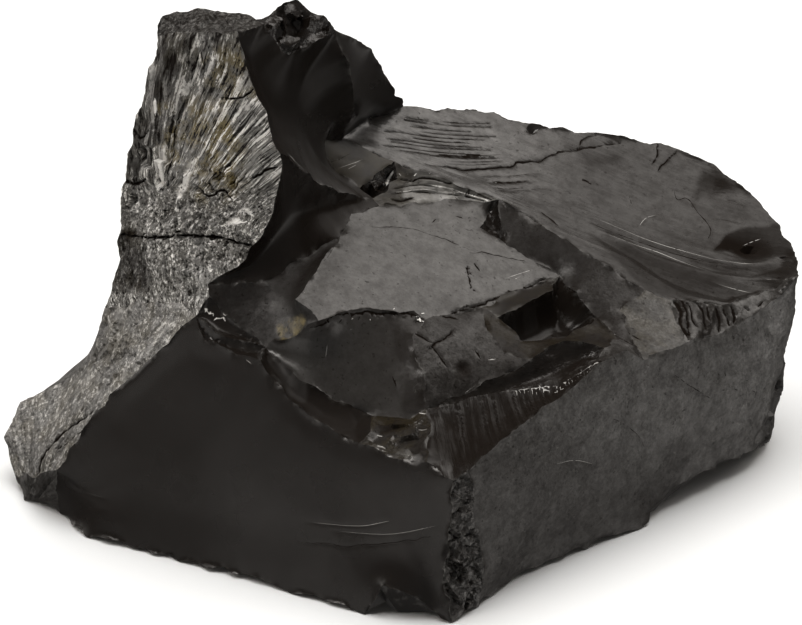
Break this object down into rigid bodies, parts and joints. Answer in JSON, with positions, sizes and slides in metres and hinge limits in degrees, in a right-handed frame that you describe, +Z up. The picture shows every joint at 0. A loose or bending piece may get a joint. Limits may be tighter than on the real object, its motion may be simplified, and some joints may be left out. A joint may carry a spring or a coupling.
{
  "type": "shungite stone",
  "caption": "Broken piece of glossy black elite shungite with a rough tower, a broad smooth slab and conchoidal faces, resting on a flat underside",
  "frame": {"origin": "centre of the bounding box on the ground, under the stone", "axes": "+X runs the long way from the tower to the tip of the slab, -Y faces the two big front faces, +Z up"},
  "size_m": [0.08, 0.0596, 0.0521],
  "materials": {
    "shungite": "glassy black with matte and striated grey fracture faces"
  },
  "bodies": {
    "root": {"stone": "shungite"}
  },
  "joints": []
}
